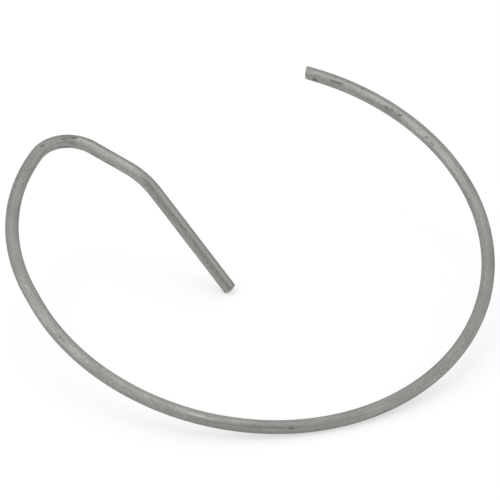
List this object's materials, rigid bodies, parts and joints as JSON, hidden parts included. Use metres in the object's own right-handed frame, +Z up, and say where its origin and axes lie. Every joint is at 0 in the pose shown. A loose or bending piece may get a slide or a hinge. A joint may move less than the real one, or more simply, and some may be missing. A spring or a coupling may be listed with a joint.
{
  "type": "retaining clip",
  "caption": "Open ring of round spring wire whose one end hooks in to a dipped leg that ends at the ring's axis; it springs into a groove and holds a part at its middle.",
  "frame": {"origin": "on the surface that the clip lies on, under the middle of its bounding box", "axes": "+Z up from that surface; -Y towards the rim point that the clip lies on; +X to the right, seen from there, with the ring's free end on the right at the back"},
  "size_m": [0.0726, 0.0631, 0.023],
  "materials": {
    "spring_steel": "dull drawn wire with small dark handling marks"
  },
  "bodies": {
    "root": {"clip_wire": "spring_steel"}
  },
  "joints": []
}
